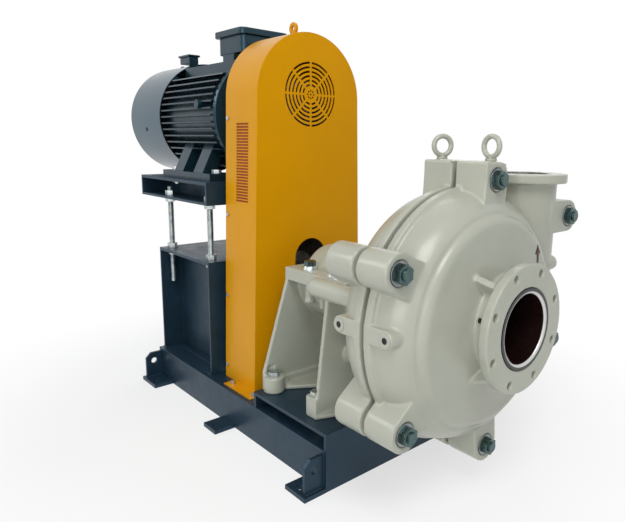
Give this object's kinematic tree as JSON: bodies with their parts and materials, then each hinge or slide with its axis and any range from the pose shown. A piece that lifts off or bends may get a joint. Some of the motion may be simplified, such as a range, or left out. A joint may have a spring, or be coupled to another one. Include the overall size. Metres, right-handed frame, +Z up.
{
  "type": "slurry pump",
  "caption": "Belt-driven horizontal slurry pump set: lined split-case pump, bearing assembly and overhead motor on a welded steel base.",
  "frame": {"origin": "centre of the foundation bolt pattern, on the floor", "axes": "+X along the pump shaft towards the suction flange, +Z up towards the discharge flange"},
  "size_m": [2.01, 0.8929, 1.474],
  "materials": {
    "base_paint": "satin",
    "pump_paint": "gloss",
    "guard_paint": "satin",
    "motor_paint": "satin",
    "motor_cowl_paint": "gloss",
    "zinc_steel": "satin",
    "shaft_steel": "satin",
    "cast_iron": "matte",
    "wear_iron": "matte",
    "belt_rubber": "matte",
    "packing": "matte",
    "fan_plastic": "matte"
  },
  "bodies": {
    "base_set": {"base_cross_members": "base_paint", "base_rail_left": "base_paint", "base_rail_right": "base_paint", "bearing_cover_drive": "pump_paint", "bearing_cover_pump": "pump_paint", "bearing_frame": "pump_paint", "bearing_housing": "pump_paint", "bearing_outer_races": "shaft_steel", "casing_bolts": "zinc_steel", "casing_eyebolts": "zinc_steel", "clamp_bolts": "zinc_steel", "clamp_washers": "zinc_steel", "cover_plate": "pump_paint", "deck_end_plate": "base_paint", "foundation_feet": "base_paint", "frame_foot_bolts": "zinc_steel", "frame_plate": "pump_paint", "frame_plate_bolts": "zinc_steel", "frame_plate_liner": "wear_iron", "gland_studs": "zinc_steel", "guard_back_panel": "guard_paint", "guard_front_panel": "guard_paint", "guard_lifting_eye": "guard_paint", "guard_screws": "zinc_steel", "guard_wrapper": "guard_paint", "jacking_rods": "zinc_steel", "lantern_ring": "shaft_steel", "lifting_lugs": "base_paint", "motor_pedestal": "base_paint", "packing_rings": "packing", "pedestal_nuts": "zinc_steel", "pump_deck": "base_paint", "stuffing_box": "pump_paint", "throatbush": "wear_iron", "v_belts": "belt_rubber", "volute_liner": "wear_iron"},
    "motor_platform_set": {"motor_platform": "base_paint", "platform_nuts": "zinc_steel", "motor_frame": "motor_paint", "motor_drive_shield": "motor_paint", "motor_fan_shield": "motor_paint", "motor_fan_cowl": "motor_cowl_paint", "motor_stator": "cast_iron", "motor_bearings": "shaft_steel", "terminal_box": "motor_paint", "terminal_box_lid": "motor_paint", "motor_sensor_box": "motor_paint", "motor_foot_bolts": "zinc_steel"},
    "motor_rotor": {"motor_rotor_core": "cast_iron", "motor_shaft": "shaft_steel", "motor_fan": "fan_plastic", "motor_pulley": "cast_iron"},
    "pump_rotor": {"pump_shaft": "shaft_steel", "pump_pulley": "cast_iron", "labyrinth_rings": "shaft_steel", "shaft_sleeve": "shaft_steel", "impeller": "wear_iron", "bearing_rollers_inner_races": "shaft_steel"},
    "gland_set": {"gland": "pump_paint", "gland_nuts": "zinc_steel"}
  },
  "joints": [
    {"name": "motor_platform_slide", "type": "slide", "parent": "base_set", "child": "motor_platform_set", "axis": [0, 0, 1], "range_m": [-0.028, 0.012], "deforming": ["v_belts"]},
    {"name": "motor_shaft_spin", "type": "hinge", "parent": "motor_platform_set", "child": "motor_rotor", "pos_m": [-0.45, 0, 1.138], "axis": [1, 0, 0], "continuous": true},
    {"name": "pump_shaft_spin", "type": "hinge", "parent": "base_set", "child": "pump_rotor", "pos_m": [0.35, 0, 0.561], "axis": [1, 0, 0], "continuous": true},
    {"name": "gland_slide", "type": "slide", "parent": "base_set", "child": "gland_set", "axis": [1, 0, 0], "range_m": [-0.012, 0]}
  ],
  "couplings": [
    {"joint": "motor_shaft_spin", "follows": "pump_shaft_spin", "ratio": 1.565}
  ]
}
